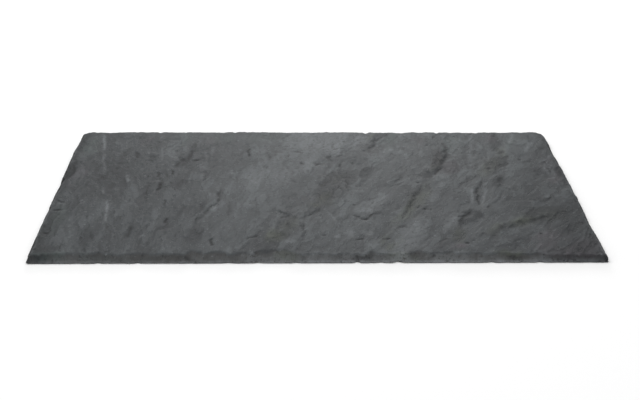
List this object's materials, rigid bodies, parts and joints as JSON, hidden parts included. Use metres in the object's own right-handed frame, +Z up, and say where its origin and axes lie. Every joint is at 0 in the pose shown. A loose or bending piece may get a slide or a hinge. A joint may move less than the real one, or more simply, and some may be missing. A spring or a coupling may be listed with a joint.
{
  "type": "slate slab",
  "caption": "Thin rectangular slab of riven slate with a cleft top, hand-chipped bevelled edges and a flat underside, for serving, display or paving scenes.",
  "frame": {"origin": "centre of the underside, on the surface that the slab rests on", "axes": "+X along the long side, +Y across it from the front edge to the back edge, +Z up"},
  "size_m": [0.4, 0.2, 0.0055],
  "materials": {
    "slate": "riven slate, dark grey, matt with a slight sheen"
  },
  "bodies": {
    "root": {"slate_slab": "slate"}
  },
  "joints": []
}
